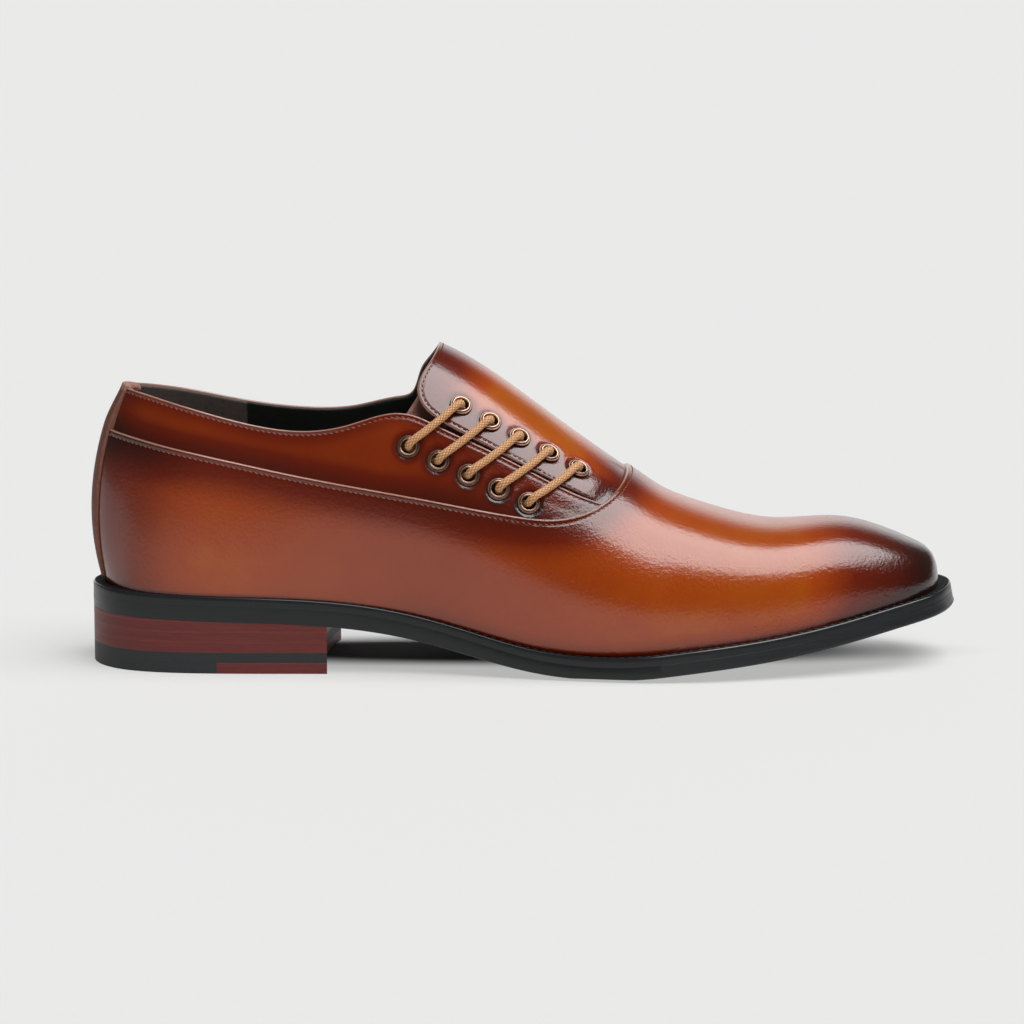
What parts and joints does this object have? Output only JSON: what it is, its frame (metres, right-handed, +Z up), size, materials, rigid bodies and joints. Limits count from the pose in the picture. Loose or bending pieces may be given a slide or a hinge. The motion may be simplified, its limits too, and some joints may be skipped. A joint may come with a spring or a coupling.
{
  "type": "side-laced dress shoe",
  "caption": "Right-foot leather dress shoe with a hollow lasted upper, a slanted side lacing with eyelets, a full welt, a toe-sprung sole and a stacked heel.",
  "frame": {"origin": "on the floor, under the middle of the shoe's bounding box", "axes": "+X to the toe along the shoe, -Y to the outer (laced) side, +Z up"},
  "size_m": [0.3035, 0.0984, 0.11],
  "materials": {
    "upper_leather": "polished, burnished at toe, heel and edges",
    "tongue_leather": "satin",
    "lining_leather": "matte",
    "sole_black": "waxed satin edge",
    "heel_leather": "stained satin",
    "heel_rubber": "matte",
    "eyelet_metal": "antique copper",
    "lace_cord": "waxed woven cord"
  },
  "bodies": {
    "root": {"upper": "upper_leather", "backstay": "upper_leather", "tongue": "tongue_leather", "insole": "lining_leather", "welt": "sole_black", "outsole": "sole_black", "heel_lift_1": "heel_leather", "heel_lift_2": "heel_leather", "heel_lift_3": "heel_leather", "heel_black_lift": "sole_black", "top_piece_rubber": "heel_rubber", "top_piece_leather": "heel_leather", "eyelet_upper_1": "eyelet_metal", "eyelet_upper_2": "eyelet_metal", "eyelet_upper_3": "eyelet_metal", "eyelet_upper_4": "eyelet_metal", "eyelet_upper_5": "eyelet_metal", "eyelet_lower_1": "eyelet_metal", "eyelet_lower_2": "eyelet_metal", "eyelet_lower_3": "eyelet_metal", "eyelet_lower_4": "eyelet_metal", "eyelet_lower_5": "eyelet_metal", "lace": "lace_cord"}
  },
  "joints": []
}
